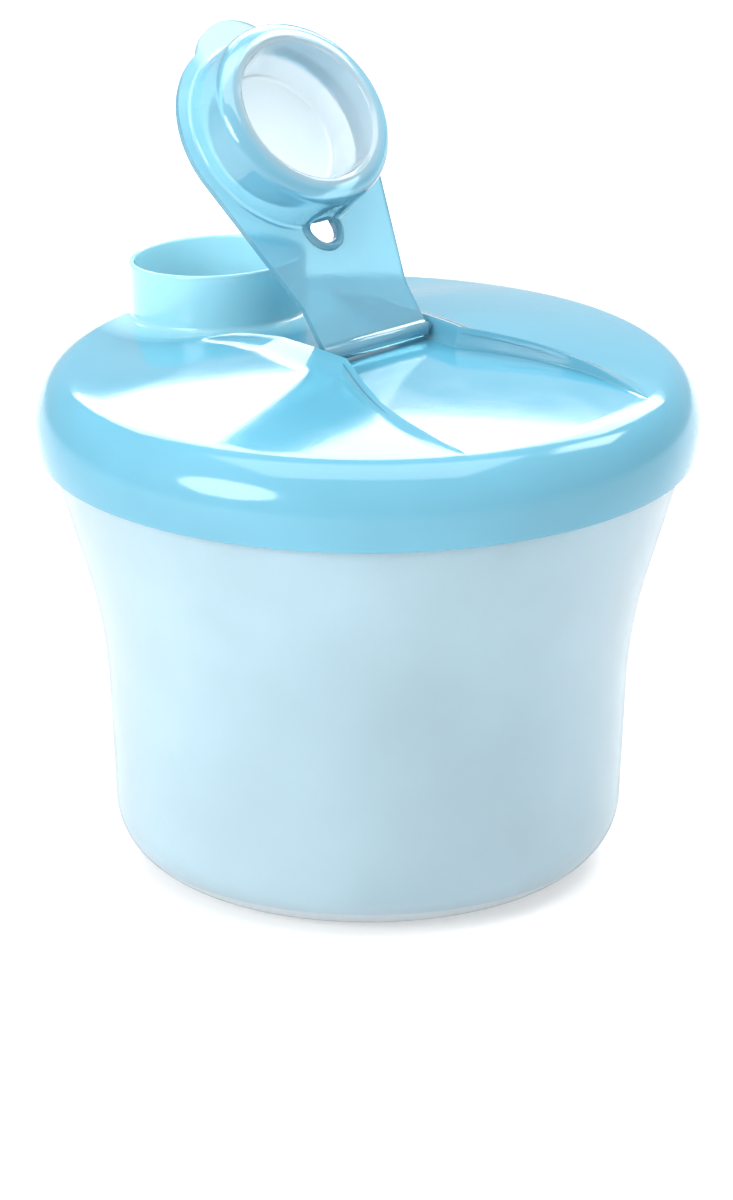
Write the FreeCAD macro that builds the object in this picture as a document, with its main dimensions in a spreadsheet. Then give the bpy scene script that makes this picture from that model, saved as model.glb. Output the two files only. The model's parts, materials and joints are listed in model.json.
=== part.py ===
import FreeCAD, Part
import math
import os
import Sketcher

# Three-compartment milk powder dispenser, in millimetres.
# The origin is the centre of the base, +Z is up, and the front is -Y.
# Four moulded pieces: a bowl, a loose divider with three vanes, a lid with a pouring
# spout, and a flip cap whose trunnions turn in the walls of the lid's channel.

SIZES = {
    # bowl
    "foot_radius": 31.4,
    "corner_radius": 10.9,
    "waist_radius": 43.2,
    "waist_height": 31,
    "flare_radius": 47.4,
    "flare_height": 54,
    "flare_curve": 90,
    "neck_radius": 52.3,
    "neck_height": 70.7,
    "bead_radius": 52.65,
    "bead_height": 77.6,
    "bead_width": 1,
    "bead_slope": 0.4,
    "bowl_height": 80.2,
    "bowl_wall": 1.8,
    # divider
    "vane_gap": 0.4,
    "vane_thickness": 1.4,
    "vane_top": 83.4,
    "vane_shoulder_width": 3.3,
    "vane_shoulder_drop": 4.1,
    "post_radius": 2.6,
    "vane_count": 3,
    "front_vane_angle": -90,
    # lid
    "skirt_radius": 54.5,
    "skirt_height": 71.7,
    "skirt_bore": 53,
    "belly_radius": 55,
    "belly_height": 76.3,
    "belly_curve": 21.4,
    "shoulder_radius": 53.05,
    "shoulder_height": 82.49,
    "shoulder_curve": 10.8,
    "edge_curve": 7.4,
    "crease_radius": 48.9,
    "crease_height": 85.4,
    "fan_rise": 2.2,
    "fan_curve": 459.3,
    "hub_flat": 4,
    "lobe_rise": 6.2,
    "lobe_curve": 195.9,
    "lid_wall": 1.6,
    "ledge_width": 3,
    "ledge_slope": 2.4,
    "channel_wall": 2.4,
    "channel_half_width": 12,
    "channel_back": 8,
    "channel_corner": 6.7,
    "channel_gap": 0.8,
    "channel_depth": 40,
    "fan_half_width": 20.6,
    "fan_corner": 33,
    "fan_end": 60,
    # spout and cap hinge
    "spout_angle": 133,
    "spout_radius": 14.8,
    "spout_bore": 13.8,
    "spout_tilt": 4,
    "spout_rim": 8.9,
    "spout_root": 6,
    "spout_clearance": 5,
    "hinge_offset": 1.3,
    "hinge_height": 89.5,
    "arm_length": 38,
    "pin_radius": 1,
    "pin_fit": 0.08,
    "pin_length": 1.4,
    "socket_depth": 1.7,
    # cap, measured from its hinge axis
    "open_angle": 51,
    "arm_half_width": 11.3,
    "arm_corner": 8,
    "arm_bottom": -0.4,
    "arm_thickness": 1.5,
    "flange_radius": 19,
    "knuckle_radius": 1.5,
    "tab_radius": 9.4,
    "tab_centre": 50.2,
    "tab_thickness": 1.1,
    "hood_wall": 0.9,
    "hood_mouth": 15.85,
    "hood_neck": 15.7,
    "hood_ceiling": 9.6,
    "hood_top": 11.1,
    "hood_round": 2,
    "well_mouth": 12.4,
    "well_round": 0.8,
    "well_wall": 0.7,
    "plug_neck": 12.3,
    "plug_neck_height": 5,
    "plug_flare": 0.6,
    "plug_end": 12,
    "plug_depth": 1.2,
    "well_floor": 1,
    "hole_radius": 2.6,
    "hole_centre": 20.6,
    "hole_top": 4,
}

X_AXIS = FreeCAD.Vector(1, 0, 0)
Z_AXIS = FreeCAD.Vector(0, 0, 1)
UPRIGHT = FreeCAD.Rotation(X_AXIS, 90)
NOTHING = 0

SPOUT_TURN = "placement(vector(0; 0; 0); rotation(vector(0; 0; 1); Sizes.spout_angle * 1deg))"

doc = FreeCAD.newDocument("formula_dispenser")


class Size:
    """A length that keeps its formula in the sheet's terms beside its present value."""

    def __init__(self, formula, value):
        self.formula = formula
        self.value = value

    def __add__(self, other):
        other = as_size(other)
        return Size(f"({self.formula} + {other.formula})", self.value + other.value)

    def __sub__(self, other):
        other = as_size(other)
        return Size(f"({self.formula} - {other.formula})", self.value - other.value)

    def __mul__(self, other):
        other = as_size(other)
        return Size(f"({self.formula} * {other.formula})", self.value * other.value)

    def __neg__(self):
        return Size(f"(0 - {self.formula})", -self.value)


def as_size(number):
    if isinstance(number, Size):
        return number
    return Size(str(number), float(number))


def size(name):
    return Size(f"Sizes.{name}", float(SIZES[name]))


def make_sheet():
    sheet = doc.addObject("Spreadsheet::Sheet", "Sizes")
    for row, (name, value) in enumerate(SIZES.items(), start=1):
        sheet.set(f"A{row}", name)
        sheet.set(f"B{row}", str(value))
        sheet.setAlias(f"B{row}", name)
    doc.recompute()


# Sketches ------------------------------------------------------------------------


def place_point(sketch, geometry, end, across, up):
    """Hold one end of a line, arc or circle centre at (across, up) from the sketch's origin."""
    for kind, length, axis in (("DistanceX", across, -2), ("DistanceY", up, -1)):
        length = as_size(length)
        if length.value == 0:
            sketch.addConstraint(Sketcher.Constraint("PointOnObject", geometry, end, axis))
        else:
            index = sketch.addConstraint(
                Sketcher.Constraint(kind, -1, 1, geometry, end, length.value))
            sketch.setExpression(f"Constraints[{index}]", length.formula)


def set_radius(sketch, geometry, radius):
    radius = as_size(radius)
    index = sketch.addConstraint(Sketcher.Constraint("Radius", geometry, radius.value))
    sketch.setExpression(f"Constraints[{index}]", radius.formula)


def arc_between(start, end, radius, turn):
    """The arc from start to end; turn is 1 for anticlockwise and -1 for clockwise."""
    chord = end - start
    half = chord.Length / 2
    side = FreeCAD.Vector(-chord.y, chord.x, 0).normalize() * turn
    height = (radius ** 2 - half ** 2) ** 0.5
    centre = (start + end) / 2 + side * height
    middle = centre - side * radius
    return Part.Arc(start, middle, end)


def draw_outline(sketch, corners):
    """Draw a closed outline.

    Each corner is (across, up), or (across, up, radius, turn) where an arc leads to the next.
    """
    points = []
    for corner in corners:
        across = as_size(corner[0])
        up = as_size(corner[1])
        points.append(FreeCAD.Vector(across.value, up.value, 0))
    joints = []
    for number, corner in enumerate(corners):
        start = points[number]
        end = points[(number + 1) % len(points)]
        if len(corner) == 2:
            geometry = sketch.addGeometry(Part.LineSegment(start, end), False)
            joints.append((geometry, 1, 2))
        else:
            radius, turn = corner[2], corner[3]
            geometry = sketch.addGeometry(arc_between(start, end, radius.value, turn), False)
            set_radius(sketch, geometry, radius)
            # an arc's ends are stored anticlockwise, whichever way it was drawn
            joints.append((geometry, 1, 2) if turn > 0 else (geometry, 2, 1))
    for number, corner in enumerate(corners):
        geometry, start_end, _ = joints[number]
        before, _, last_end = joints[number - 1]
        sketch.addConstraint(
            Sketcher.Constraint("Coincident", before, last_end, geometry, start_end))
        place_point(sketch, geometry, start_end, corner[0], corner[1])


def draw_circle(sketch, across, up, radius):
    centre = FreeCAD.Vector(as_size(across).value, as_size(up).value, 0)
    circle = Part.Circle(centre, Z_AXIS, as_size(radius).value)
    geometry = sketch.addGeometry(circle, False)
    set_radius(sketch, geometry, radius)
    place_point(sketch, geometry, 3, across, up)


def draw_keyhole(sketch, back, corner, half_width, centre, radius):
    """A straight strip that widens, tangent, into a round head centred on the X axis."""
    back, corner, half_width, centre, radius = [
        as_size(length) for length in (back, corner, half_width, centre, radius)]
    half = half_width.value
    run = centre.value - corner.value
    reach = math.hypot(run, half)
    slope = math.asin(radius.value / reach) - math.atan2(half, run)
    flare = math.sqrt(reach ** 2 - radius.value ** 2)
    touch_across = corner.value + flare * math.cos(slope)
    touch_up = half + flare * math.sin(slope)
    outline = [
        FreeCAD.Vector(back.value, half, 0),
        FreeCAD.Vector(back.value, -half, 0),
        FreeCAD.Vector(corner.value, -half, 0),
        FreeCAD.Vector(touch_across, -touch_up, 0),
        FreeCAD.Vector(touch_across, touch_up, 0),
        FreeCAD.Vector(corner.value, half, 0),
    ]
    tip = FreeCAD.Vector(centre.value + radius.value, 0, 0)
    end, low_side, low_flare, head, high_flare, high_side = [
        sketch.addGeometry(piece, False) for piece in (
            Part.LineSegment(outline[0], outline[1]),
            Part.LineSegment(outline[1], outline[2]),
            Part.LineSegment(outline[2], outline[3]),
            Part.Arc(outline[3], tip, outline[4]),
            Part.LineSegment(outline[4], outline[5]),
            Part.LineSegment(outline[5], outline[0]))]
    sketch.addConstraint(Sketcher.Constraint("Coincident", end, 2, low_side, 1))
    sketch.addConstraint(Sketcher.Constraint("Coincident", low_side, 2, low_flare, 1))
    sketch.addConstraint(Sketcher.Constraint("Tangent", low_flare, 2, head, 1))
    sketch.addConstraint(Sketcher.Constraint("Tangent", head, 2, high_flare, 1))
    sketch.addConstraint(Sketcher.Constraint("Coincident", high_flare, 2, high_side, 1))
    sketch.addConstraint(Sketcher.Constraint("Coincident", high_side, 2, end, 1))
    place_point(sketch, end, 1, back, half_width)
    place_point(sketch, low_side, 1, back, -half_width)
    place_point(sketch, low_flare, 1, corner, -half_width)
    place_point(sketch, high_side, 1, corner, half_width)
    place_point(sketch, head, 3, centre, NOTHING)
    set_radius(sketch, head, radius)


# Features ------------------------------------------------------------------------


def body_sketch(body, name, plane, height=None):
    """A sketch on one of the body's own origin planes, raised along the plane's normal."""
    sketch = body.newObject("Sketcher::SketchObject", name)
    origin_plane = [part for part in body.Origin.OriginFeatures if part.Role == plane][0]
    sketch.AttachmentSupport = [(origin_plane, "")]
    sketch.MapMode = "FlatFace"
    if height is not None:
        sketch.setExpression("AttachmentOffset.Base.z", height.formula)
    return sketch


def body_revolution(body, name, sketch, axis="V_Axis"):
    feature = body.newObject("PartDesign::Revolution", name)
    feature.Profile = sketch
    feature.ReferenceAxis = (sketch, [axis])
    feature.Angle = 360
    doc.recompute()
    return feature


def body_pad(body, name, sketch, length, both_ways=False):
    feature = body.newObject("PartDesign::Pad", name)
    feature.Profile = sketch
    feature.setExpression("Length", length.formula)
    if both_ways:
        feature.SideType = "Symmetric"
    doc.recompute()
    return feature


def body_pocket(body, name, sketch, length, upward):
    """A pocket of the given length along the sketch's normal, or against it."""
    volume_before = body.Shape.Volume
    feature = body.newObject("PartDesign::Pocket", name)
    feature.Profile = sketch
    feature.setExpression("Length", length.formula)
    feature.Reversed = upward
    doc.recompute()
    if not body.Shape.Volume < volume_before - 0.1:
        raise RuntimeError(f"{name} cuts nothing")
    return feature


def loose_sketch(name, placement):
    sketch = doc.addObject("Sketcher::SketchObject", name)
    sketch.Placement = placement
    return sketch


def turned_solid(name, corners):
    """A solid of revolution about Z from an outline in the XZ plane."""
    sketch = loose_sketch(name + "_outline", FreeCAD.Placement(FreeCAD.Vector(), UPRIGHT))
    draw_outline(sketch, corners)
    solid = doc.addObject("Part::Revolution", name)
    solid.Source = sketch
    solid.Axis = Z_AXIS
    solid.Base = FreeCAD.Vector()
    solid.Angle = 360
    solid.Solid = True
    return solid


def hinge_place(rotation, sideways="0"):
    """The formula of a placement on the hinge line, turned to the spout's direction."""
    return (
        f"{SPOUT_TURN} * placement(vector(0 - Sizes.hinge_offset; {sideways}; "
        f"Sizes.hinge_height); {rotation})")


def joined(name, pieces):
    fuse = doc.addObject("Part::MultiFuse", name)
    fuse.Shapes = pieces
    return fuse


def cut_away(name, base, tool):
    cut = doc.addObject("Part::Cut", name)
    cut.Base = base
    cut.Tool = tool
    return cut


# Bowl ------------------------------------------------------------------------------


def bowl_wall_line(inset=NOTHING):
    """Foot to neck, moved in from the outer face by inset: rising corners of the wall."""
    inset = as_size(inset)
    return [
        (size("foot_radius"), inset, size("corner_radius") - inset, 1),
        (size("foot_radius") + size("corner_radius") - inset, size("corner_radius")),
        (size("waist_radius") - inset, size("waist_height"), size("flare_curve"), -1),
        (size("flare_radius") - inset, size("flare_height")),
        (size("neck_radius") - inset, size("neck_height")),
    ]


def make_bowl():
    body = doc.addObject("PartDesign::Body", "bowl")
    sketch = body_sketch(body, "bowl_outline", "XZ_Plane")
    wall = size("bowl_wall")
    bead_start = size("bead_height")
    bead_end = size("bead_height") + size("bead_width")
    inner = [
        (NOTHING, wall),
        *bowl_wall_line(wall),
        (size("neck_radius") - wall, size("bowl_height")),
    ]
    outer = [
        (0, 0),
        *bowl_wall_line(),
        (size("neck_radius"), bead_start - size("bead_slope")),
        (size("bead_radius"), bead_start),
        (size("bead_radius"), bead_end),
        (size("neck_radius"), bead_end + size("bead_slope")),
        (size("neck_radius"), size("bowl_height")),
    ]
    draw_outline(sketch, outer + reversed_outline(inner))
    body_revolution(body, "bowl_shell", sketch)
    return body


def reversed_outline(corners):
    """The same open outline from its last corner to its first, with its arcs turned over."""
    result = []
    for number in range(len(corners) - 1, -1, -1):
        corner = corners[number][:2]
        before = corners[number - 1] if number > 0 else corner
        if len(before) == 4:
            corner = (*corner, before[2], -before[3])
        result.append(corner)
    return result


# Divider ---------------------------------------------------------------------------


def make_divider():
    body = doc.addObject("PartDesign::Body", "divider")
    gap = size("vane_gap")
    inset = size("bowl_wall") + gap
    post_sketch = body_sketch(body, "post_outline", "XY_Plane", size("bowl_wall"))
    draw_circle(post_sketch, 0, 0, size("post_radius"))
    body_pad(body, "post", post_sketch, size("vane_top") - size("bowl_wall"))
    vane_sketch = body_sketch(body, "vane_outline", "XZ_Plane")
    wall = bowl_wall_line(inset)
    floor_corner = (wall[0][0], size("bowl_wall"), size("corner_radius") - inset, 1)
    low_wall = (wall[1][0], size("corner_radius") - gap)
    corners = [
        (0, size("bowl_wall")),
        floor_corner,
        low_wall,
        *wall[2:],
        (size("neck_radius") - inset, size("vane_top") - size("vane_shoulder_drop")),
        (size("neck_radius") - inset - size("vane_shoulder_width"), size("vane_top")),
        (0, size("vane_top")),
    ]
    draw_outline(vane_sketch, corners)
    vane = body_pad(body, "vane", vane_sketch, size("vane_thickness"), both_ways=True)
    pattern = body.newObject("PartDesign::PolarPattern", "vanes")
    pattern.Originals = [vane]
    z_line = [part for part in body.Origin.OriginFeatures if part.Role == "Z_Axis"][0]
    pattern.Axis = (z_line, [""])
    pattern.Angle = 360
    pattern.setExpression("Occurrences", size("vane_count").formula)
    body.Tip = pattern
    body.setExpression(
        "Placement", "placement(vector(0; 0; 0); rotation(vector(0; 0; 1); "
        "Sizes.front_vane_angle * 1deg))")
    return body


# Lid -------------------------------------------------------------------------------


def lid_outside():
    """The rim, rounded over to a crease, under the shallow dome that the fans lie on."""
    fan_top = size("crease_height") + size("fan_rise")
    return turned_solid("lid_outside", [
        (0, size("skirt_height")),
        (size("skirt_radius"), size("skirt_height"), size("belly_curve"), 1),
        (size("belly_radius"), size("belly_height"), size("shoulder_curve"), 1),
        (size("shoulder_radius"), size("shoulder_height"), size("edge_curve"), 1),
        (size("crease_radius"), size("crease_height"), size("fan_curve"), 1),
        (size("hub_flat"), fan_top),
        (0, fan_top),
    ])


def lid_inside():
    """The hollow under the rim and the fans, with the ledge that stands on the bowl."""
    wall = size("lid_wall")
    fan_top = size("crease_height") + size("fan_rise")
    ledge = size("skirt_bore") - size("ledge_width")
    below = size("skirt_height") - wall
    return turned_solid("lid_inside", [
        (0, below),
        (size("skirt_bore"), below),
        (size("skirt_bore"), size("bowl_height")),
        (ledge, size("bowl_height")),
        (ledge - size("ledge_slope"), size("crease_height") - wall, size("fan_curve"), 1),
        (size("hub_flat"), fan_top - wall),
        (0, fan_top - wall),
    ])


def lobe_dome(name, inset=NOTHING):
    """The higher dome that the two lobes on either side of the channel belong to."""
    reach = size("crease_radius") - inset
    base = size("crease_height") - inset
    foot = base - size("lid_wall")
    return turned_solid(name, [
        (0, foot),
        (reach, foot),
        (reach, base, size("lobe_curve"), 1),
        (0, base + size("lobe_rise")),
    ])


def channel(name, margin=NOTHING):
    """What the cap's channel and the fan behind it take out of the lobes, seen from above."""
    front = loose_sketch(name + "_front_outline", FreeCAD.Placement())
    draw_keyhole(
        front, -size("channel_back"), size("channel_corner"),
        size("channel_half_width") + margin,
        size("arm_length") - size("hinge_offset"),
        size("flange_radius") + size("channel_gap") + margin)
    back = loose_sketch(name + "_back_outline", FreeCAD.Placement())
    half = size("channel_half_width") + margin
    wide = size("fan_half_width") + margin
    draw_outline(back, [
        (0, half),
        (-size("channel_back"), half),
        (-size("fan_corner"), wide),
        (-size("fan_end"), wide),
        (-size("fan_end"), -wide),
        (-size("fan_corner"), -wide),
        (-size("channel_back"), -half),
        (0, -half),
    ])
    prisms = []
    for sketch in (front, back):
        prism = doc.addObject("Part::Extrusion", sketch.Name.replace("_outline", ""))
        prism.Base = sketch
        prism.DirMode = "Custom"
        prism.Dir = Z_AXIS
        prism.setExpression("LengthFwd", "Sizes.crease_height + Sizes.channel_depth")
        prism.Solid = True
        prism.setExpression("Placement", SPOUT_TURN)
        prisms.append(prism)
    return joined(name, prisms)


def spout_cylinder(name, radius, start, end):
    """A round bar on the spout's leaning axis, start and end measured from the hinge line."""
    bar = doc.addObject("Part::Cylinder", name)
    bar.setExpression("Radius", radius.formula)
    bar.setExpression("Height", (end - start).formula)
    bar.setExpression(
        "Placement",
        hinge_place("rotation(vector(0; 1; 0); Sizes.spout_tilt * 1deg)")
        + f" * placement(vector(Sizes.arm_length; 0; {start.formula}); "
        "rotation(vector(0; 0; 1); 0deg))")
    return bar


def hinge_socket(side):
    """One of the two blind holes for the cap's trunnions; side is 1 or -1 across the channel."""
    name = "left_socket" if side > 0 else "right_socket"
    socket = doc.addObject("Part::Cylinder", name)
    socket.setExpression("Radius", (size("pin_radius") + size("pin_fit")).formula)
    overlap = size("pin_fit")
    socket.setExpression("Height", (size("socket_depth") + overlap).formula)
    reach = size("channel_half_width") - overlap
    socket.setExpression(
        "Placement",
        hinge_place(f"rotation(vector(1; 0; 0); {-90 * side}deg)", f"{side} * {reach.formula}"))
    return socket


def make_lid():
    lobes = cut_away("lobes", lobe_dome("lobe_outside"), channel("channel"))
    hollows = cut_away(
        "lobe_hollows", lobe_dome("lobe_inside", size("lid_wall")),
        channel("channel_walls", size("channel_wall")))
    spout_start = -size("spout_root")
    spout_rim = size("spout_rim")
    outside = joined("lid_solid", [
        lid_outside(),
        lobes,
        spout_cylinder("spout", size("spout_radius"), spout_start, spout_rim),
    ])
    hollow = joined("lid_hollow", [
        lid_inside(),
        hollows,
        spout_cylinder("spout_passage", size("spout_bore"), spout_start,
                       spout_rim + size("spout_clearance")),
        hinge_socket(1),
        hinge_socket(-1),
    ])
    return cut_away("lid", outside, hollow)


# Flip cap --------------------------------------------------------------------------


def make_cap():
    """Built about its own hinge axis, which is Y, with the arm along X, then opened."""
    body = doc.addObject("PartDesign::Body", "spout_cap")
    bottom = size("arm_bottom")

    arm_sketch = body_sketch(body, "arm_outline", "XY_Plane", bottom)
    draw_keyhole(
        arm_sketch, NOTHING, size("arm_corner"), size("arm_half_width"), size("arm_length"),
        size("flange_radius"))
    body_pad(body, "arm", arm_sketch, size("arm_thickness"))

    tab_sketch = body_sketch(body, "tab_outline", "XY_Plane", bottom)
    draw_circle(tab_sketch, size("tab_centre"), NOTHING, size("tab_radius"))
    body_pad(body, "thumb_tab", tab_sketch, size("tab_thickness"))

    mouth_sketch = body_sketch(body, "mouth_outline", "XY_Plane", bottom)
    draw_circle(mouth_sketch, size("arm_length"), NOTHING, size("hood_mouth"))
    body_pocket(body, "mouth", mouth_sketch, size("arm_thickness"), upward=True)

    hood_sketch = body_sketch(body, "hood_outline", "XZ_Plane")
    draw_hood(hood_sketch, bottom)
    body_revolution(body, "hood_and_plug", hood_sketch, "Axis0")

    knuckle_sketch = body_sketch(body, "knuckle_outline", "XZ_Plane")
    draw_circle(knuckle_sketch, 0, 0, size("knuckle_radius"))
    body_pad(body, "knuckle", knuckle_sketch, size("arm_half_width") * 2, both_ways=True)

    pin_sketch = body_sketch(body, "pin_outline", "XZ_Plane")
    draw_circle(pin_sketch, 0, 0, size("pin_radius"))
    pin_span = (size("arm_half_width") + size("pin_length")) * 2
    body_pad(body, "trunnions", pin_sketch, pin_span, both_ways=True)

    hole_sketch = body_sketch(body, "hole_outline", "XY_Plane", bottom)
    draw_circle(hole_sketch, size("hole_centre"), 0, size("hole_radius"))
    body_pocket(body, "arm_hole", hole_sketch, size("hole_top") - bottom, upward=True)

    body.setExpression(
        "Placement", hinge_place("rotation(vector(0; 1; 0); 0deg - Sizes.open_angle * 1deg)"))
    return body


def draw_hood(sketch, bottom):
    """The hood that goes over the spout and the hollow plug that goes into it."""
    centre = size("arm_length")
    hood_top = size("hood_top")
    axis_start = FreeCAD.Vector(centre.value, 0, 0)
    axis_end = FreeCAD.Vector(centre.value, hood_top.value, 0)
    axis = sketch.addGeometry(Part.LineSegment(axis_start, axis_end), True)
    place_point(sketch, axis, 1, centre, NOTHING)
    place_point(sketch, axis, 2, centre, hood_top)
    wall = size("hood_wall")
    rounding = size("hood_round")
    lip = size("well_round")
    floor = -size("plug_depth")
    draw_outline(sketch, [
        (centre, floor),
        (centre + size("plug_end"), floor),
        (centre + size("plug_neck"), size("plug_neck_height")),
        (centre + size("plug_neck") + size("plug_flare"), size("hood_ceiling")),
        (centre + size("hood_neck"), size("hood_ceiling")),
        (centre + size("hood_mouth"), bottom),
        (centre + size("hood_mouth") + wall, bottom),
        (centre + size("hood_neck") + wall, hood_top - rounding, rounding, 1),
        (centre + size("hood_neck") + wall - rounding, hood_top),
        (centre + size("well_mouth") + lip, hood_top, lip, 1),
        (centre + size("well_mouth"), hood_top - lip),
        (centre + size("plug_neck") - size("well_wall"), size("plug_neck_height")),
        (centre + size("plug_end") - size("well_wall"), floor + size("well_floor")),
        (centre, floor + size("well_floor")),
    ])


# Build, check and write --------------------------------------------------------------


def check_document(pieces):
    for thing in doc.Objects:
        if "Invalid" in thing.State or "Error" in thing.State:
            raise RuntimeError(f"{thing.Name} is {thing.State}")
    for piece in pieces:
        shape = piece.Shape
        if shape.isNull() or not shape.isValid():
            raise RuntimeError(f"{piece.Label} has no valid shape")
        box = shape.optimalBoundingBox()
        print(f"{piece.Label}: {len(shape.Solids)} solid, {shape.Volume / 1000:.2f} cm3, "
              f"x {box.XMin:.2f} {box.XMax:.2f}, y {box.YMin:.2f} {box.YMax:.2f}, "
              f"z {box.ZMin:.2f} {box.ZMax:.2f}")


def main():
    make_sheet()
    pieces = [make_bowl(), make_divider(), make_lid(), make_cap()]
    doc.recompute()
    check_document(pieces)
    os.makedirs("parts", exist_ok=True)
    for piece in pieces:
        piece.Shape.exportStep(f"parts/{piece.Label}.step")


main()
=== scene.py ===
import json
import math
from collections import Counter

import bmesh
import bpy
from mathutils import Matrix, Vector
from mathutils.geometry import delaunay_2d_cdt


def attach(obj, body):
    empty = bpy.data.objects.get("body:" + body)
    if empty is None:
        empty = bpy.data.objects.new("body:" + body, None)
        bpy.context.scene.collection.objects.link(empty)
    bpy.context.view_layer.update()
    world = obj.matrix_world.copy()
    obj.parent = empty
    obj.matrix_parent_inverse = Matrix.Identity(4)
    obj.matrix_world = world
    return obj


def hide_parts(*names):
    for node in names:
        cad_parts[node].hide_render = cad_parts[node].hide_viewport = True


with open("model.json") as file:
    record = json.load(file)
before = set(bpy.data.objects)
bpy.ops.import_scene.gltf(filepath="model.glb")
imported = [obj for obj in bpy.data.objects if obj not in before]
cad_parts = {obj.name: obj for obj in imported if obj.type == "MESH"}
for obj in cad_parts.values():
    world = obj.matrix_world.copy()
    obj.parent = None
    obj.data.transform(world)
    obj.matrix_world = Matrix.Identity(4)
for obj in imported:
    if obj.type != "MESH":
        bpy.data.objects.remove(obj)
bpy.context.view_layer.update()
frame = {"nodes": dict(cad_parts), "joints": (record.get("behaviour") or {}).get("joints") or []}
MM = 0.001

# The spout's direction and the cap's hinge come from the frame's own joint.
HINGE = next(joint for joint in frame["joints"] if joint["name"] == "cap_hinge")
HINGE_POINT = Vector(HINGE["pos_m"]) / MM
OUTWARD = Vector((-HINGE["axis"][1], HINGE["axis"][0], 0)).normalized()
SPOUT_ANGLE = math.atan2(OUTWARD.y, OUTWARD.x)
HINGE_OFFSET = -HINGE_POINT.xy.length

# Sizes are millimetres, as in the part, and a pair is (radius, height).
# Bowl: foot, waist, flared wall, and neck with its bead
BOWL_WALL = 1.8
FOOT_RADIUS = 31.4
FOOT_CORNER = 10.9
FOOT_RECESS = 0.5
FOOT_RING = 2.0
WAIST = (43.2, 31.0)
FLARE = (47.4, 54.0)
FLARE_CENTRE = (133.09, 26.47)
FLARE_CURVE = 90.0
NECK_RADIUS = 52.3
NECK_HEIGHT = 70.7
NECK_CURVE = 8.0
BEAD = 0.35
BEAD_HEIGHTS = (77.2, 77.6, 78.6, 79.2)
BEAD_CURVE = 0.3
BOWL_HEIGHT = 80.2

# Lid: rim, crease, fans, lobes and channel
SKIRT_RADIUS = 54.2
SKIRT_HEIGHT = 71.7
CREASE_RADIUS = 48.9
CREASE_HEIGHT = 85.4
FAN_RISE = 2.2
LOBE_RISE = 4.6
CREST_RISE = 6.2
LOBE_SINK_START = 12.0
LOBE_SINK_RUN = 24.0
CHANNEL_HALF = 12.0
CHANNEL_BACK = -8.0
CHANNEL_FRONT = 6.7
FAN_HALF = 20.6
FAN_CORNER = -33.0
WALL_RUN = 0.7
RIDGE_RUN = 5.0
LID_WALL = 1.0

# The most of the room from the channel's edge to the crease that the wall and ridge take
WALL_SHARE = 0.2
RIDGE_SHARE = 0.6

# Each arc of the rim, from the crease down: centre, radius, start and end in degrees, steps
RIM_ARCS = (
    ((46.99, 78.25), 7.4, 75, 35, 10),
    ((44.2, 76.3), 10.8, 35, 0, 14),
    ((33.6, 76.3), 21.4, 0, -12.4, 8))

# Spout, measured along its leaning axis from the hinge's level
SPOUT_TILT = math.radians(4)
SPOUT_RADIUS = 14.8
SPOUT_WALL = 1.0
SPOUT_RIM = 8.9
SPOUT_BASE = -2.2
SPOUT_FILLET = 1.0
SPOUT_MARGIN = 0.8

# Cap, in its own frame: x along the arm from the hinge, z out of the arm from the hinge
ARM_LENGTH = 38.0
ARM_HALF = 11.3
ARM_CORNER = 8.0
OPEN_ANGLE = math.radians(51)
CAP_WALL = 1.0
PLATE_TOP = 1.1
FLANGE_RADIUS = 19.0
HEAD_RADIUS = 19.8
HOOD_FLANK = 16.0
HOOD_TOP = 11.1
PLATE_START = 18.0
WELL_FLOOR = -0.2
WELL_RADIUS = 11.3
TAB_CENTRE = 50.2
TAB_RADIUS = 9.4
CAP_REACH = (FLANGE_RADIUS - 2, TAB_CENTRE + TAB_RADIUS)
HOLE_CENTRE = 20.6
HOLE_RADIUS = 2.6
DRILL_ENDS = (-3.0, PLATE_TOP + 0.5)
COLLAR_START = math.radians(66)
COLLAR_WIDTH = 1.5
COLLAR_RISE = 0.75
COLLAR_ROOT = 0.4
GROOVE_RADIUS = 3.0
GROOVE_FOOT = PLATE_TOP + 0.02
GROOVE_TOP = 8.0
GROOVE_REACH = 22.05
GROOVE_BLEND = 1.2
KNUCKLE_RADIUS = 1.5
KNUCKLE_BEVEL = 0.3
PIN_RADIUS = 1.0
PIN_END = 12.7

# SEAM keeps two joined surfaces out of one plane. Points nearer than SAME_PLACE are one.
SEAM = 0.02
SAME_PLACE = 1e-6

# How finely the curves are divided
ROUND_STEPS = 256
CORNER_STEPS = 24
BOWL_SPACING = 3.0
LID_RAYS = 720
FAN_STEPS = 24
WALL_STEPS = 8
RIDGE_STEPS = 12
DOME_STEPS = 20
FILLET_STEPS = 6
TUBE_STEPS = 10
LIP_STEPS = 8
CAP_RAYS = 480
HOOD_SPACING = 0.9
PLATE_STEPS = 8
DRILL_STEPS = 64
COLLAR_STEPS = 96
COLLAR_RINGS = 12
KNUCKLE_STEPS = 48
HALVINGS = 40

# Edges sharper than these, in degrees, are shaded as edges
EDGE_ANGLE = 40
SOFT_EDGE_ANGLE = 50

# Grains of the plastic: a noise's scale and detail, and where on it the grain starts and ends
CLOUDS = (38, 3, 0.3, 0.7)
FLOW = (9, 1, 0.4, 0.75)
HAZE = (160, 4, 0.3, 0.7)

# The clouds' palest and deepest tint, the flow marks' depth, and the skin's fine bumps
CLOUD_TINTS = (1.05, 0.94)
FLOW_SHARE = 0.22
SKIN_GRAIN = (1400, 2)
SKIN_DEPTH = 0.0002
PLASTIC_IOR = 1.49
COAT_ROUGHNESS = 0.04

# The dark outline painted as shade at a clear wall's silhouette: where it starts and is full, from
# face on to edge on, and its share
PAINTED_OUTLINE_SHADE = (0.84, 0.95, 0.85)


def link(obj):
    bpy.context.scene.collection.objects.link(obj)
    return obj


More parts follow.
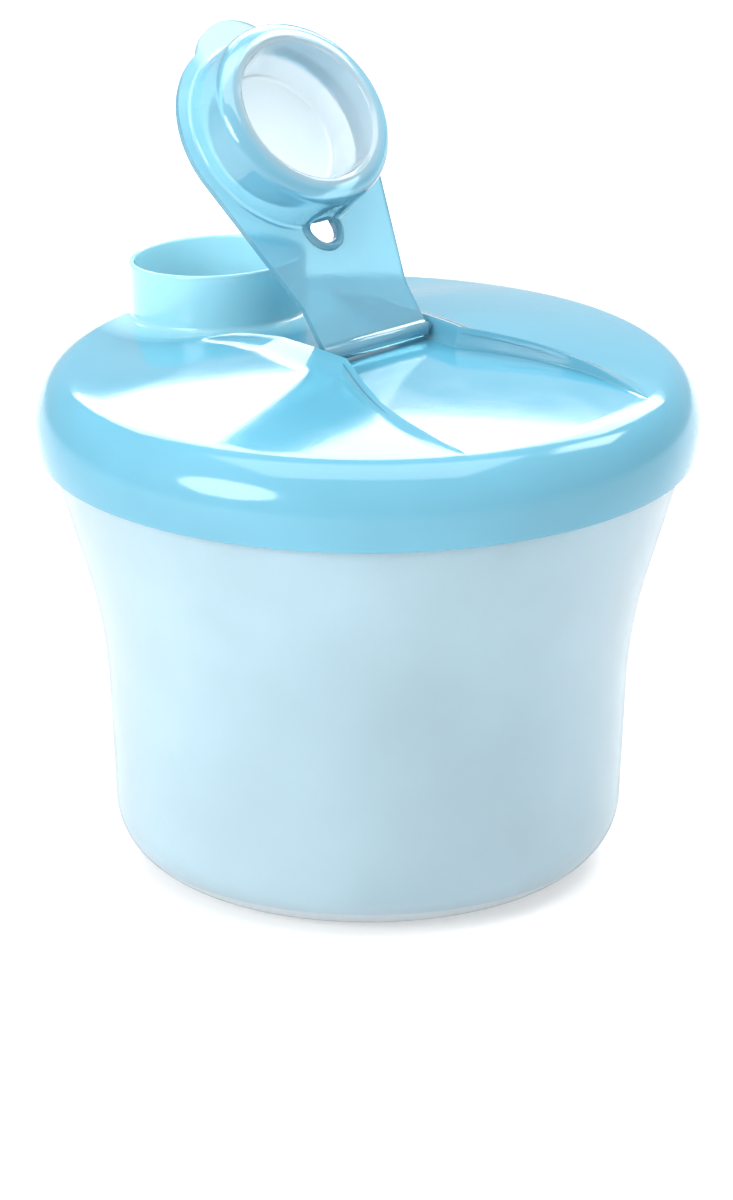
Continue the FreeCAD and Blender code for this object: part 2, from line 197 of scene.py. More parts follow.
def mesh_object(name, points, faces, smooth_angle=EDGE_ANGLE):
    """A mesh from points in millimetres, smooth except along edges sharper than the angle."""
    mesh = bpy.data.meshes.new(name)
    mesh.from_pydata([tuple(point * MM for point in p) for p in points], [], faces)
    mesh.validate()
    work = bmesh.new()
    work.from_mesh(mesh)
    bmesh.ops.remove_doubles(work, verts=work.verts, dist=SAME_PLACE)
    loose = [vert for vert in work.verts if not vert.link_faces]
    bmesh.ops.delete(work, geom=loose, context="VERTS")
    bmesh.ops.recalc_face_normals(work, faces=work.faces)
    work.to_mesh(mesh)
    work.free()
    mesh.shade_smooth()
    mesh.set_sharp_from_angle(angle=math.radians(smooth_angle))
    return link(bpy.data.objects.new(name, mesh))


def apply_modifier(obj, kind, **settings):
    modifier = obj.modifiers.new(kind.lower(), kind)
    for key, value in settings.items():
        setattr(modifier, key, value)
    bpy.context.view_layer.update()
    graph = bpy.context.evaluated_depsgraph_get()
    mesh = bpy.data.meshes.new_from_object(obj.evaluated_get(graph))
    obj.modifiers.clear()
    obj.data = mesh


def add_to(obj, points, faces):
    """Add a closed piece to a mesh, in millimetres, keeping its shading."""
    work = bmesh.new()
    work.from_mesh(obj.data)
    added = bmesh.new()
    verts = [added.verts.new(Vector(point) * MM) for point in points]
    for face in faces:
        added.faces.new([verts[index] for index in face])
    bmesh.ops.recalc_face_normals(added, faces=added.faces)
    piece = bpy.data.meshes.new("added")
    added.to_mesh(piece)
    added.free()
    work.from_mesh(piece)
    bpy.data.meshes.remove(piece)
    work.to_mesh(obj.data)
    work.free()
    obj.data.shade_smooth()
    obj.data.set_sharp_from_angle(angle=math.radians(SOFT_EDGE_ANGLE))


# Rings and curves -----------------------------------------------------------------------


def turn_angles(count):
    """The angles of a whole turn, in equal steps."""
    return [2 * math.pi * n / count for n in range(count)]


def ring_faces(first, second, count):
    """Quads between two closed rings of vertices, given the index of each ring's first vertex."""
    return [
        (first + n, first + (n + 1) % count, second + (n + 1) % count, second + n)
        for n in range(count)]


def fan_faces(hub, first, count):
    """Triangles from one vertex to a closed ring of vertices."""
    return [(hub, first + n, first + (n + 1) % count) for n in range(count)]


def disc_faces(rings, count):
    """Faces of a disc: vertex 0 in the middle, and rings of vertices round it."""
    faces = fan_faces(0, 1, count)
    for ring in range(rings - 1):
        faces += ring_faces(1 + ring * count, 1 + (ring + 1) * count, count)
    return faces


def rod_faces(rings, count):
    """Faces of a rod: rings of vertices along it, and a cap at each end."""
    faces = []
    for ring in range(rings - 1):
        faces += ring_faces(ring * count, (ring + 1) * count, count)
    last = (rings - 1) * count
    return faces + [tuple(range(count)), tuple(range(last, last + count))]


def arc_points(centre, radius, start, end, steps):
    """Points of an arc, angles in degrees."""
    angles = [math.radians(start + (end - start) * n / steps) for n in range(steps + 1)]
    return [
        (centre[0] + radius * math.cos(angle), centre[1] + radius * math.sin(angle))
        for angle in angles]


def smooth_step(value):
    value = min(max(value, 0.0), 1.0)
    return value * value * (3 - 2 * value)


def furthest(inside, low, high):
    """The distance where a ray that starts inside an outline leaves it."""
    for _ in range(HALVINGS):
        middle = (low + high) / 2
        if inside(middle):
            low = middle
        else:
            high = middle
    return high


def tangent(corner, centre, radius):
    """Lean, and run along x, of the line from a corner that touches a circle above its centre."""
    away = Vector(centre) - Vector(corner)
    lean = math.atan2(away.y, away.x) + math.asin(radius / away.length)
    return lean, math.cos(lean) * math.sqrt(away.length_squared - radius ** 2)


def round_corner(points, rounding, steps=6):
    """A polyline whose inner corners are rounded; rounding is a radius for each inner corner."""
    most = 0.49
    result = [points[0]]
    for before, corner, after, radius in zip(points, points[1:], points[2:], rounding):
        corner = Vector(corner)
        a = Vector(before) - corner
        b = Vector(after) - corner
        reach = min(radius / math.tan(a.angle(b) / 2), a.length * most, b.length * most)
        start = corner + a.normalized() * reach
        end = corner + b.normalized() * reach
        for n in range(steps + 1):
            share = n / steps
            point = start.lerp(corner, share).lerp(corner.lerp(end, share), share)
            result.append(tuple(point))
    result.append(points[-1])
    return result


def resample(points, spacing):
    """The same polyline with its long runs divided."""
    result = [points[0]]
    for start, end in zip(points, points[1:]):
        count = max(1, int(math.dist(start, end) / spacing))
        for n in range(1, count + 1):
            share = n / count
            result.append(tuple(s + (e - s) * share for s, e in zip(start, end)))
    return result


def revolve(name, profile):
    """Turn a profile of (radius, height) about Z; its first and last points are on the axis."""
    points = [(0, 0, profile[0][1])]
    for radius, height in profile[1:-1]:
        points += [
            (radius * math.cos(angle), radius * math.sin(angle), height)
            for angle in turn_angles(ROUND_STEPS)]
    last = len(points)
    points.append((0, 0, profile[-1][1]))
    faces = disc_faces(len(profile) - 2, ROUND_STEPS)
    faces += fan_faces(last, last - ROUND_STEPS, ROUND_STEPS)
    return mesh_object(name, points, faces)


# Bowl ---------------------------------------------------------------------------------


def flare_arc(start, end):
    """The flared wall's arc from one (radius, height) to another."""
    angles = [
        math.degrees(math.atan2(z - FLARE_CENTRE[1], r - FLARE_CENTRE[0])) for r, z in (start, end)]
    return arc_points(FLARE_CENTRE, FLARE_CURVE, *angles, CORNER_STEPS)


def make_bowl():
    foot = (FOOT_RADIUS, FOOT_CORNER)
    outer = [
        (0, FOOT_RECESS), (FOOT_RADIUS - 2 * FOOT_RING, FOOT_RECESS), (FOOT_RADIUS - FOOT_RING, 0)]
    outer += arc_points(foot, FOOT_CORNER, -90, 0, CORNER_STEPS)
    outer += flare_arc(WAIST, FLARE)
    bead_radii = (NECK_RADIUS, NECK_RADIUS + BEAD, NECK_RADIUS + BEAD, NECK_RADIUS)
    neck = [
        FLARE, (NECK_RADIUS, NECK_HEIGHT), *zip(bead_radii, BEAD_HEIGHTS),
        (NECK_RADIUS, BOWL_HEIGHT)]
    outer += round_corner(neck, [NECK_CURVE] + [BEAD_CURVE] * len(BEAD_HEIGHTS))[1:]

    bore = NECK_RADIUS - BOWL_WALL
    inner = round_corner(
        [(bore, BOWL_HEIGHT), (bore, NECK_HEIGHT), (FLARE[0] - BOWL_WALL, FLARE[1])], [NECK_CURVE])
    inner += [(r - BOWL_WALL, z) for r, z in flare_arc(FLARE, WAIST)]
    inner += arc_points(foot, FOOT_CORNER - BOWL_WALL, 0, -90, CORNER_STEPS)
    inner.append((0, BOWL_WALL))
    return revolve("bowl_shell", resample(outer + inner, BOWL_SPACING))


# Lid: u runs from the axis along the spout's direction, v across it ---------------------


def channel_half(u):
    """Half the width of the channel and the fan behind it, at u."""
    centre = ARM_LENGTH + HINGE_OFFSET
    lean, run = tangent((CHANNEL_FRONT, CHANNEL_HALF), (centre, 0), HEAD_RADIUS)
    if u > centre + HEAD_RADIUS:
        return 0.0
    if u > CHANNEL_FRONT + run:
        return math.sqrt(max(HEAD_RADIUS ** 2 - (u - centre) ** 2, 0))
    if u > CHANNEL_FRONT:
        return CHANNEL_HALF + math.tan(lean) * (u - CHANNEL_FRONT)
    if u > CHANNEL_BACK:
        return CHANNEL_HALF
    if u > FAN_CORNER:
        share = (CHANNEL_BACK - u) / (CHANNEL_BACK - FAN_CORNER)
        return CHANNEL_HALF + (FAN_HALF - CHANNEL_HALF) * math.sin(share * math.pi / 2)
    return FAN_HALF


def crest_radius(angle):
    """Where a ray from the axis meets the edge of the channel or the fan."""
    cos, sin = math.cos(angle), abs(math.sin(angle))

    def inside(radius):
        return radius * sin < channel_half(radius * cos)

    if inside(CREASE_RADIUS):
        return CREASE_RADIUS
    return furthest(inside, 0.0, CREASE_RADIUS)


def fan_height(radius):
    return CREASE_HEIGHT + FAN_RISE * (1 - (radius / CREASE_RADIUS) ** 2)


def lobe_share(u):
    """How far the lobes stand up at u: they sink away beside the spout."""
    return 1 - smooth_step((u - LOBE_SINK_START) / LOBE_SINK_RUN)


def ridge_fall(share):
    """An even slope down from the crest, rounded at its top and foot."""
    return 0.5 * share + 0.5 * smooth_step(share)


def lid_ray(angle):
    """(radius, height) points of the lid's top along one ray, from the axis to the crease."""
    edge = crest_radius(angle)
    room = CREASE_RADIUS - edge
    wall = min(WALL_RUN, room * WALL_SHARE)
    ridge = min(RIDGE_RUN, room * RIDGE_SHARE)

    def dome(radius, rise):
        share = lobe_share(radius * math.cos(angle))
        return fan_height(radius) + (rise - FAN_RISE) * share * (1 - (radius / CREASE_RADIUS) ** 2)

    points = [(edge * n / FAN_STEPS, fan_height(edge * n / FAN_STEPS)) for n in range(FAN_STEPS)]
    floor = fan_height(edge)
    crest = dome(edge + wall, CREST_RISE)
    for n in range(WALL_STEPS + 1):
        share = n / WALL_STEPS
        points.append((edge + wall * share, floor + (crest - floor) * smooth_step(share)))
    for n in range(1, RIDGE_STEPS + 1):
        share = n / RIDGE_STEPS
        radius = edge + wall + ridge * share
        high = dome(radius, CREST_RISE)
        low = dome(radius, LOBE_RISE)
        points.append((radius, high + (low - high) * ridge_fall(share)))
    start = edge + wall + ridge
    for n in range(1, DOME_STEPS + 1):
        radius = start + (CREASE_RADIUS - start) * n / DOME_STEPS
        points.append((radius, dome(radius, LOBE_RISE)))
    return points


def rim_profile():
    """The rounded rim, from just outside the crease to the skirt's lower edge."""
    rim = []
    for arc in RIM_ARCS:
        rim += arc_points(*arc)[1:]
    rim.append((SKIRT_RADIUS, SKIRT_HEIGHT))
    return rim


def lid_top_height(u, v):
    """Height of the lid's top near the spout, where only the fan and the rim are met."""
    radius = math.hypot(u, v)
    if radius <= CREASE_RADIUS:
        return fan_height(radius)
    profile = [(CREASE_RADIUS, CREASE_HEIGHT)] + rim_profile()
    for (r0, z0), (r1, z1) in zip(profile, profile[1:]):
        if r0 <= radius <= r1:
            return z0 + (z1 - z0) * (radius - r0) / (r1 - r0)
    return SKIRT_HEIGHT


def lid_grid():
    """Points and faces of the lid's top and rim, before the spout is let in."""
    rim = rim_profile()
    rows = []
    for angle in turn_angles(LID_RAYS):
        cos, sin = math.cos(angle), math.sin(angle)
        rows.append([(r * cos, r * sin, z) for r, z in lid_ray(angle) + rim])
    rings = len(rows[0]) - 1
    points = [rows[0][0]]
    for ring in range(1, rings + 1):
        points += [row[ring] for row in rows]
    return points, disc_faces(rings, LID_RAYS)


def spout_point(angle, radius, along):
    """A point at angle around the spout's leaning axis, along it from the hinge's level."""
    local = Vector((ARM_LENGTH + radius * math.cos(angle), radius * math.sin(angle), along))
    point = Matrix.Rotation(SPOUT_TILT, 3, "Y") @ local
    return point + Vector((HINGE_OFFSET, 0, HINGE_POINT.z))


def spout_foot(angle):
    """Where the fillet starts on the lid's top, and how high that is along the spout."""
    base = spout_point(0, 0, SPOUT_BASE)
    edge = SPOUT_RADIUS + SPOUT_FILLET
    x, y = base.x + edge * math.cos(angle), base.y + edge * math.sin(angle)
    spot = Vector((x, y, lid_top_height(x, y)))
    return spot, spot.z - HINGE_POINT.z + (spot.x - HINGE_OFFSET) * math.tan(SPOUT_TILT)


def fillet_point(angle, share):
    """A point of the fillet, share from 0 on the lid's top to 1 on the spout."""
    start, level = spout_foot(angle)
    corner = spout_point(angle, SPOUT_RADIUS - SEAM, level)
    top = spout_point(angle, SPOUT_RADIUS - SEAM, level + SPOUT_FILLET)
    return start.lerp(corner, share).lerp(corner.lerp(top, share), share)


def opening_edges(points, faces):
    """The free edges of the lid's top, without those of its skirt."""
    used = Counter(frozenset(pair) for face in faces for pair in zip(face, face[1:] + face[:1]))
    return [
        tuple(edge) for edge, count in used.items()
        if count == 1 and all(points[index][2] > SKIRT_HEIGHT for index in edge)]


def fill_to_spout(points, faces):
    """Open the lid's top where the spout stands, and fill it up to the fillet's first ring.

    New points go at the end of points. Returns the faces, and the ring's vertices in order.
    """
    base = spout_point(0, 0, SPOUT_BASE)
    clear = SPOUT_RADIUS + SPOUT_FILLET + SPOUT_MARGIN
    near = {
        index for index, (u, v, _) in enumerate(points)
        if math.hypot(u - base.x, v - base.y) < clear}
    kept = [face for face in faces if near.isdisjoint(face)]
    opening = opening_edges(points, kept)
    names = sorted({index for edge in opening for index in edge})
    place = {index: n for n, index in enumerate(names)}
    start = len(names)
    flat = [Vector(points[index][:2]) for index in names]
    flat += [spout_foot(angle)[0].xy for angle in turn_angles(ROUND_STEPS)]
    edges = [(place[a], place[b]) for a, b in opening]
    edges += [(start + n, start + (n + 1) % ROUND_STEPS) for n in range(ROUND_STEPS)]
    found, _, triangles, origins, _, _ = delaunay_2d_cdt(flat, edges, [], 1, SAME_PLACE)

    vertices = []
    ring = {}
    for spot, sources in zip(found, origins):
        if sources and sources[0] < start:
            vertices.append(names[sources[0]])
        else:
            vertices.append(len(points))
            points.append((spot.x, spot.y, lid_top_height(spot.x, spot.y)))
        ring.update({source - start: vertices[-1] for source in sources if source >= start})
    on_ring = set(ring.values())
    for triangle in triangles:
        corners = tuple(vertices[corner] for corner in triangle)
        if not on_ring.issuperset(corners):
            kept.append(corners)
    return kept, [ring[n] for n in range(ROUND_STEPS)]


def tube_section(low):
    """The spout's wall from low up the outside, over a rounded lip and down the inside."""
    lip = SPOUT_WALL / 2
    top = SPOUT_RIM - lip
    end = low - lip
    section = [(SPOUT_RADIUS, low + (top - low) * n / TUBE_STEPS) for n in range(TUBE_STEPS)]
    section += arc_points((SPOUT_RADIUS - lip, top), lip, 0, 180, LIP_STEPS)
    section += [
        (SPOUT_RADIUS - SPOUT_WALL, top + (end - top) * n / TUBE_STEPS)
        for n in range(1, TUBE_STEPS + 1)]
    return section


def spout_tube():
    """The spout as a closed ring, whose hidden lower end lies in the lid's wall."""
    angles = turn_angles(ROUND_STEPS)
    sections = [tube_section(spout_foot(angle)[1] - LID_WALL / 2) for angle in angles]
    rings = len(sections[0])
    points = []
    faces = []
    for ring in range(rings):
        points += [spout_point(angle, *section[ring]) for angle, section in zip(angles, sections)]
        faces += ring_faces(ring * ROUND_STEPS, (ring + 1) % rings * ROUND_STEPS, ROUND_STEPS)
    return turned(points), faces


def turned(points):
    """Points given along and across the spout's direction, turned to where it points."""
    turn = Matrix.Rotation(SPOUT_ANGLE, 3, "Z")
    return [tuple(turn @ Vector(point)) for point in points]


def make_lid():
    points, faces = lid_grid()
    faces, ring = fill_to_spout(points, faces)
    angles = turn_angles(ROUND_STEPS)
    for step in range(1, FILLET_STEPS + 1):
        above = list(range(len(points), len(points) + ROUND_STEPS))
        points += [fillet_point(angle, step / FILLET_STEPS) for angle in angles]
        faces += [(ring[n - 1], ring[n], above[n], above[n - 1]) for n in range(ROUND_STEPS)]
        ring = above
    cover = mesh_object("lid_cover", turned(points), faces, SOFT_EDGE_ANGLE)
    apply_modifier(cover, "SOLIDIFY", thickness=LID_WALL * MM, offset=-1, use_even_offset=True)
    add_to(cover, *spout_tube())
    return cover


# Cap: x runs along the arm from the hinge, y along the hinge, z out of the arm ----------


def cap_outline(angle):
    """Distance from the hood's axis to the edge of the arm, flange or tab."""
    lean, run = tangent((ARM_CORNER, ARM_HALF), (ARM_LENGTH, 0), FLANGE_RADIUS)

    def inside(distance):
        x = ARM_LENGTH + distance * math.cos(angle)
        y = abs(distance * math.sin(angle))
        if math.hypot(x - TAB_CENTRE, y) < TAB_RADIUS:
            return True
        if math.hypot(x - ARM_LENGTH, y) < FLANGE_RADIUS:
            return True
        if x < 0 or x > ARM_LENGTH:
            return False
        if x < ARM_CORNER:
            return y < ARM_HALF
        return x < ARM_CORNER + run and y < ARM_HALF + math.tan(lean) * (x - ARM_CORNER)

    return furthest(inside, *CAP_REACH)


def hood_profile():
    """Top face of the hood and its well: (radius, height), from the well's centre outward."""
    corners = [
        (0, WELL_FLOOR), (WELL_RADIUS, WELL_FLOOR), (11.9, 5.0), (12.5, HOOD_TOP - 0.5),
        (13.2, HOOD_TOP), (14.9, HOOD_TOP - 0.2), (16.5, HOOD_TOP - 1.5), (16.75, PLATE_TOP),
        (PLATE_START, PLATE_TOP)]
    rounded = round_corner(corners, [0.8, 6, 0.5, 0.5, 2.5, 2.5, 1.1], steps=8)
    return resample(rounded, HOOD_SPACING)


def groove(x, y, height):
    """Push a point of the hood's near flank back to the round groove above the arm's hole.

    The groove is no deeper than the gap between the hood and the spout allows.
    """
    if not GROOVE_FOOT < height < GROOVE_TOP or x > ARM_LENGTH:
        return x
    share = (height - PLATE_TOP) / (GROOVE_TOP - PLATE_TOP)
    radius = GROOVE_RADIUS * math.sqrt(1 - share ** 2)
    if abs(y) >= radius:
        return x
    back = max(x, min(HOLE_CENTRE + math.sqrt(radius ** 2 - y ** 2), GROOVE_REACH))
    return x + (back - x) * smooth_step((height - PLATE_TOP) / GROOVE_BLEND)


def placed(points):
    """Points of the cap, put on the hinge at the angle where the cap stands open at rest."""
    place = (
        Matrix.Translation(HINGE_POINT) @ Matrix.Rotation(SPOUT_ANGLE, 4, "Z")
        @ Matrix.Rotation(-OPEN_ANGLE, 4, "Y"))
    return [tuple(place @ Vector(point)) for point in points]


def make_cap():
    angles = turn_angles(CAP_RAYS)
    profile = hood_profile()
    points = [(ARM_LENGTH, 0, WELL_FLOOR)]
    for radius, height in profile[1:]:
        for angle in angles:
            x, y = ARM_LENGTH + radius * math.cos(angle), radius * math.sin(angle)
            if radius > HOOD_FLANK:
                x = groove(x, y, height)
            points.append((x, y, height))
    outline = [cap_outline(angle) for angle in angles]
    for step in range(1, PLATE_STEPS + 1):
        for angle, reach in zip(angles, outline):
            radius = PLATE_START + (reach - PLATE_START) * step / PLATE_STEPS
            points.append((
                ARM_LENGTH + radius * math.cos(angle), radius * math.sin(angle), PLATE_TOP))
    faces = disc_faces(len(profile) - 1 + PLATE_STEPS, CAP_RAYS)
    cap = mesh_object("flip_cap", placed(points), faces)
    apply_modifier(cap, "SOLIDIFY", thickness=CAP_WALL * MM, offset=-1, use_even_offset=True)
    drill = make_drill()
    apply_modifier(cap, "BOOLEAN", object=drill, operation="DIFFERENCE", solver="EXACT")
    bpy.data.objects.remove(drill)
    add_to(cap, *hole_collar())
    add_to(cap, *knuckle())
    return cap


def make_drill():
    """The cylinder that cuts the round hole in the arm."""
    points = [
        (HOLE_CENTRE + HOLE_RADIUS * math.cos(angle), HOLE_RADIUS * math.sin(angle), height)
        for height in DRILL_ENDS for angle in turn_angles(DRILL_STEPS)]
    return mesh_object("drill", placed(points), rod_faces(len(DRILL_ENDS), DRILL_STEPS))


def hole_collar():
    """A raised lip round the hole on the side that faces the hinge, open towards the hood."""
    sweep = 2 * (math.pi - COLLAR_START)
    angles = [COLLAR_START + sweep * n / (COLLAR_STEPS - 1) for n in range(COLLAR_STEPS)]
    rises = [smooth_step(0.5 - 0.9 * math.cos(angle)) for angle in angles]
    points = []

    def add_arc(radius, heights):
        points.extend(
            (HOLE_CENTRE + radius * math.cos(angle), radius * math.sin(angle), height)
            for angle, height in zip(angles, heights))

    for n in range(COLLAR_RINGS + 1):
        bulge = COLLAR_RISE * math.sin(math.pi * n / COLLAR_RINGS)
        add_arc(HOLE_RADIUS + COLLAR_WIDTH * n / COLLAR_RINGS,
                [PLATE_TOP + SEAM + bulge * rise for rise in rises])
    for radius in (HOLE_RADIUS + COLLAR_WIDTH, HOLE_RADIUS):
        add_arc(radius, [PLATE_TOP - COLLAR_ROOT] * COLLAR_STEPS)

    arcs = COLLAR_RINGS + 3
    faces = []
    for arc in range(arcs):
        first, second = arc * COLLAR_STEPS, (arc + 1) % arcs * COLLAR_STEPS
        faces += [
            (first + n, first + n + 1, second + n + 1, second + n) for n in range(COLLAR_STEPS - 1)]
    for end in (0, COLLAR_STEPS - 1):
        faces.append(tuple(arc * COLLAR_STEPS + end for arc in range(arcs)))
    return placed(points), faces


def knuckle():
    """The hinge's barrel along the arm's end, with a pin that is turned down at each end."""
    shoulder = KNUCKLE_BEVEL * 0.3
    half = [
        (KNUCKLE_RADIUS, 0), (KNUCKLE_RADIUS, ARM_HALF - KNUCKLE_BEVEL),
        (KNUCKLE_RADIUS - shoulder, ARM_HALF - shoulder),
        (KNUCKLE_RADIUS - KNUCKLE_BEVEL, ARM_HALF), (PIN_RADIUS, ARM_HALF),
        (PIN_RADIUS, PIN_END - KNUCKLE_BEVEL), (PIN_RADIUS - KNUCKLE_BEVEL, PIN_END)]
    section = [(radius, -along) for radius, along in reversed(half)] + half[1:]
    points = [
        (radius * math.cos(angle), along, radius * math.sin(angle))
        for radius, along in section for angle in turn_angles(KNUCKLE_STEPS)]
    return placed(points), rod_faces(len(section), KNUCKLE_STEPS)


# Materials ------------------------------------------------------------------------------


def noise(tree, place, scale, detail):
    node = tree.nodes.new("ShaderNodeTexNoise")
    node.inputs["Scale"].default_value = scale
    node.inputs["Detail"].default_value = detail
    tree.links.new(place, node.inputs["Vector"])
    return node.outputs["Fac"]


def mixed(tree, share, first, second):
    """Mix two colours, each a tuple or another node's output."""
    node = tree.nodes.new("ShaderNodeMix")
    node.data_type = "RGBA"
    tree.links.new(share, node.inputs["Factor"])
    for socket, value in ((node.inputs["A"], first), (node.inputs["B"], second)):
        if isinstance(value, tuple):
            socket.default_value = (*value, 1)
        else:
            tree.links.new(value, socket)
    return node.outputs["Result"]


def ranged(tree, source, low, high, start, end):
    """Low where the source is at start, high where it is at end."""
    node = tree.nodes.new("ShaderNodeMapRange")
    node.inputs["From Min"].default_value = start
    node.inputs["From Max"].default_value = end
    node.inputs["To Min"].default_value = low
    node.inputs["To Max"].default_value = high
    tree.links.new(source, node.inputs["Value"])
    return node.outputs["Result"]


def grained(tree, place, grain, low, high):
    """Low to high along one of the plastic's grains."""
    scale, detail, start, end = grain
    return ranged(tree, noise(tree, place, scale, detail), low, high, start, end)


def region(tree, place, centre, reach):
    """1 at a centre, falling to 0 at the half sizes of a region round it."""
    spot = tree.nodes.new("ShaderNodeMapping")
    spot.inputs["Scale"].default_value = [1 / (part * MM) for part in reach]
    spot.inputs["Location"].default_value = [-c / part for c, part in zip(centre, reach)]
    tree.links.new(place, spot.inputs["Vector"])
    ball = tree.nodes.new("ShaderNodeTexGradient")
    ball.gradient_type = "SPHERICAL"
    tree.links.new(spot.outputs["Vector"], ball.inputs["Vector"])
    return ball.outputs["Fac"]


def plastic(name, color, deep_and_edge_shade, outline_shade, edge, roughness, transmission, gloss, bump, painted_light_regions=()):
    """Moulded plastic: clouded pigment, painted edge shade and a painted dark outline, a faint
    skin.

    color, deep and line are linear RGB. deep is the flow marks' tint and the painted edge shade,
    which darkens the wall where it is seen edge on, for the longer path through it; line is the
    dark outline painted as shade at a clear wall's silhouette. edge is where the painted edge shade
    starts and is full, 0 to 1 from face on to edge on, and its share. roughness is its lowest and
    highest value, gloss its specular level and coat. thin lists regions painted paler with painted
    light: (centre, half sizes, fade, share, pale color).
    """
    material = bpy.data.materials.new(name)
    material.use_nodes = True
    tree = material.node_tree
    shader = tree.nodes["Principled BSDF"]
    specular, coat = gloss
    shader.inputs["Transmission Weight"].default_value = transmission
    shader.inputs["IOR"].default_value = PLASTIC_IOR
    shader.inputs["Specular IOR Level"].default_value = specular
    shader.inputs["Coat Weight"].default_value = coat
    shader.inputs["Coat Roughness"].default_value = COAT_ROUGHNESS
    place = tree.nodes.new("ShaderNodeTexCoord").outputs["Object"]
    facing = tree.nodes.new("ShaderNodeLayerWeight")
    facing.inputs["Blend"].default_value = 0.5
    edge_on = facing.outputs["Facing"]

    pale, dull = (tuple(min(1.0, part * tint) for part in color) for tint in CLOUD_TINTS)
    tint = mixed(tree, grained(tree, place, CLOUDS, 0, 1), pale, dull)
    tint = mixed(tree, grained(tree, place, FLOW, 0, FLOW_SHARE), tint, deep_and_edge_shade)
    # Painted shade: the tint darkens where the wall is seen edge on, for the longer path through
    # it.
    start, full, most = edge
    tint = mixed(tree, ranged(tree, edge_on, 0, most, start, full), tint, deep_and_edge_shade)
    # Painted light: each region's pale colour is painted over the tint.
    for centre, reach, fade, most, clear in painted_light_regions:
        share = ranged(tree, region(tree, place, centre, reach), 0, most, 0, fade)
        tint = mixed(tree, share, tint, clear)
    # Painted shade: a dark outline where the wall is seen nearly edge on.
    start, full, most = PAINTED_OUTLINE_SHADE
    tint = mixed(tree, ranged(tree, edge_on, 0, most, start, full), tint, outline_shade)
    tree.links.new(tint, shader.inputs["Base Color"])

    tree.links.new(grained(tree, place, HAZE, *roughness), shader.inputs["Roughness"])
    skin = tree.nodes.new("ShaderNodeBump")
    skin.inputs["Strength"].default_value = bump
    skin.inputs["Distance"].default_value = SKIN_DEPTH
    tree.links.new(noise(tree, place, *SKIN_GRAIN), skin.inputs["Height"])
    tree.links.new(skin.outputs["Normal"], shader.inputs["Normal"])
    return material


def blue_plastic():
    """The lid's, with painted light making it paler round the spout."""
    spout = turned([spout_point(0, 0, SPOUT_RIM)])[0]
    return plastic(
        "blue_plastic", color=(0.18, 0.50, 0.66), deep_and_edge_shade=(0.05, 0.33, 0.48),
        outline_shade=(0.01, 0.10, 0.16), edge=(0.2, 1, 0.8), roughness=(0.08, 0.14), transmission=0.35,
        gloss=(0.36, 0.12), bump=0.05,
        painted_light_regions=[(spout, (24, 24, 24), 0.22, 0.95, (0.42, 0.82, 0.94))])


def blue_cap_plastic():
    """The cap's, clearer than the lid's, with painted light making it palest in the well and the
    tab.
    """
    well, tab = placed([(ARM_LENGTH, 0, 5), (TAB_CENTRE + 5, 0, PLATE_TOP)])
    return plastic(
        "blue_cap_plastic", color=(0.28, 0.605, 0.75), deep_and_edge_shade=(0.10, 0.46, 0.61),
        outline_shade=(0.03, 0.18, 0.27), edge=(0.2, 1, 0.8), roughness=(0.06, 0.12), transmission=0.62,
        gloss=(0.5, 0.3), bump=0.05, painted_light_regions=[
            (well, (16, 16, 16), 0.15, 0.85, (0.82, 0.90, 0.94)),
            (tab, (10, 10, 10), 0.35, 0.6, (0.70, 0.82, 0.87))])


def frosted_plastic():
    """The bowl's, with a band of painted light at its foot."""
    return plastic(
        "frosted_plastic", color=(0.65, 0.86, 0.95), deep_and_edge_shade=(0.50, 0.62, 0.70),
        outline_shade=(0.16, 0.30, 0.36), edge=(0.4, 0.85, 0.7), roughness=(0.28, 0.33), transmission=0.6,
        gloss=(0.2, 0.05), bump=0.12,
        painted_light_regions=[((0, 0, 0), (80, 80, 4.6), 0.05, 0.8, (0.85, 0.91, 0.94))])


def vane_plastic():
    """The divider's."""
    return plastic(
        "vane_plastic", color=(0.25, 0.52, 0.64), deep_and_edge_shade=(0.16, 0.42, 0.56),
        outline_shade=(0.12, 0.36, 0.48), edge=(0.5, 1, 0.5), roughness=(0.36, 0.46), transmission=0.25,
        gloss=(0.4, 0.1), bump=0.12)


def paint(obj, material):
    obj.data.materials.clear()
    obj.data.materials.append(material)


# Stage, in metres -----------------------------------------------------------------------


def area_light(name, place, target, size, power, shape="RECTANGLE"):
    data = bpy.data.lights.new(name, "AREA")
    data.shape = shape
    data.size, data.size_y = size
    data.energy = power
    lamp = link(bpy.data.objects.new(name, data))
    lamp.location = place
    lamp.rotation_euler = (Vector(target) - Vector(place)).to_track_quat("-Z", "Y").to_euler()


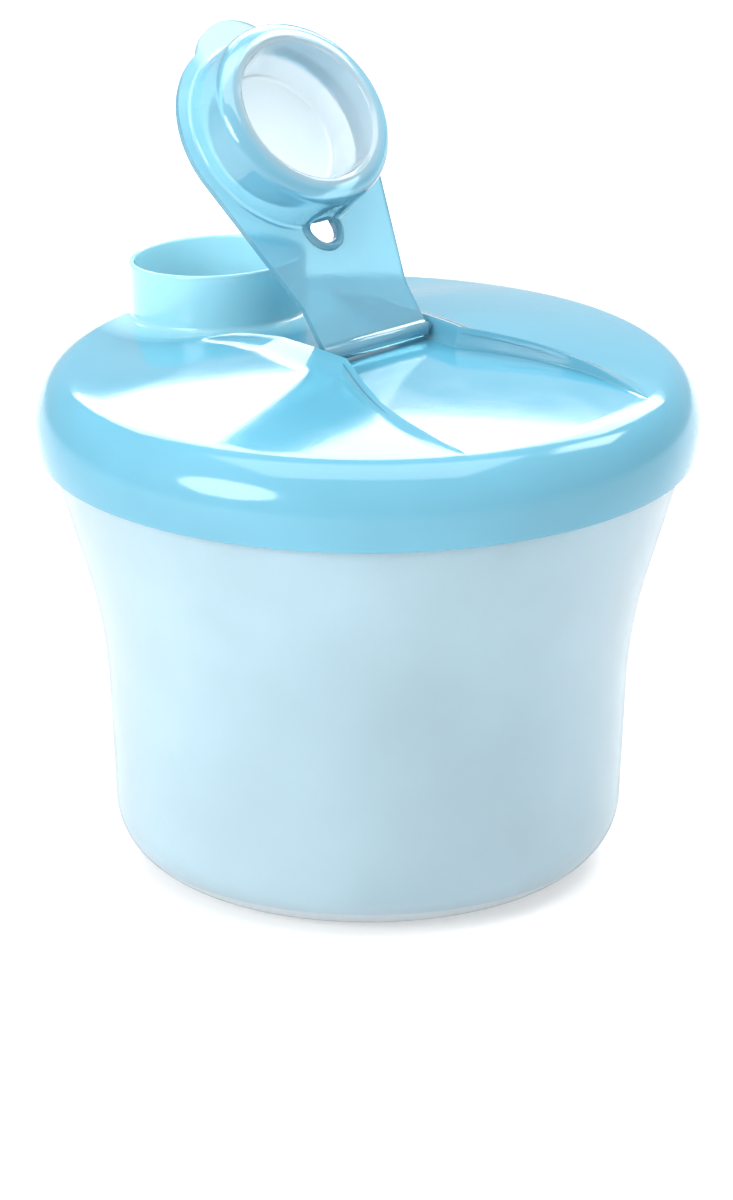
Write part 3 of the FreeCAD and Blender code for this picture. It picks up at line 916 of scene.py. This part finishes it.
def make_floor():
    half = 6.0
    corners = [(-half, -half, 0), (half, -half, 0), (half, half, 0), (-half, half, 0)]
    mesh = bpy.data.meshes.new("floor")
    mesh.from_pydata(corners, [], [(0, 1, 2, 3)])
    floor = link(bpy.data.objects.new("floor", mesh))
    material = bpy.data.materials.new("pale_floor")
    material.use_nodes = True
    shader = material.node_tree.nodes["Principled BSDF"]
    shader.inputs["Base Color"].default_value = (0.6, 0.6, 0.6, 1)
    shader.inputs["Emission Color"].default_value = (1, 1, 1, 1)
    shader.inputs["Emission Strength"].default_value = 0.4
    shader.inputs["Roughness"].default_value = 0.7
    mesh.materials.append(material)


def make_lights():
    world = bpy.data.worlds.new("studio")
    bpy.context.scene.world = world
    world.use_nodes = True
    background = world.node_tree.nodes["Background"]
    background.inputs["Color"].default_value = (1, 1, 1, 1)
    background.inputs["Strength"].default_value = 0.8
    middle = (0, 0, 0.08)
    area_light("overhead", (0.0, -0.1, 1.3), middle, (1.2, 1.0), 13)
    area_light("back_panel", (0.06, 0.94, 0.83), middle, (1.24, 0.55), 16)
    area_light("key", (-0.53, -0.46, 0.36), middle, (0.46, 0.34), 3.8, "ELLIPSE")
    area_light("right_panel", (0.66, 0.35, 0.85), middle, (0.26, 0.34), 2.0)


def make_camera():
    elevation = math.radians(20.5)
    distance = 1.074
    target = Vector((0, 0, 0.035))
    data = bpy.data.cameras.new("camera")
    camera = link(bpy.data.objects.new("camera", data))
    camera.location = target + Vector((0, -math.cos(elevation), math.sin(elevation))) * distance
    camera.rotation_euler = (target - camera.location).to_track_quat("-Z", "Y").to_euler()
    data.lens = 192.9
    data.sensor_width = 36
    data.shift_x = -0.00125
    data.shift_y = 0.0423
    data.clip_end = 50
    bpy.context.scene.camera = camera


def main():
    bpy.context.scene.view_settings.view_transform = "Standard"
    make_camera()
    make_floor()
    make_lights()
    paint(frame["nodes"]["divider"], vane_plastic())
    for make, material, body, slot in (
            (make_bowl, frosted_plastic, "bowl", "bowl_frosted"),
            (make_lid, blue_plastic, "lid", "lid_blue"),
            (make_cap, blue_cap_plastic, "spout_cap", "cap_blue")):
        piece = make()
        paint(piece, material())
        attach(piece, body)
        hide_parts(body)


main()
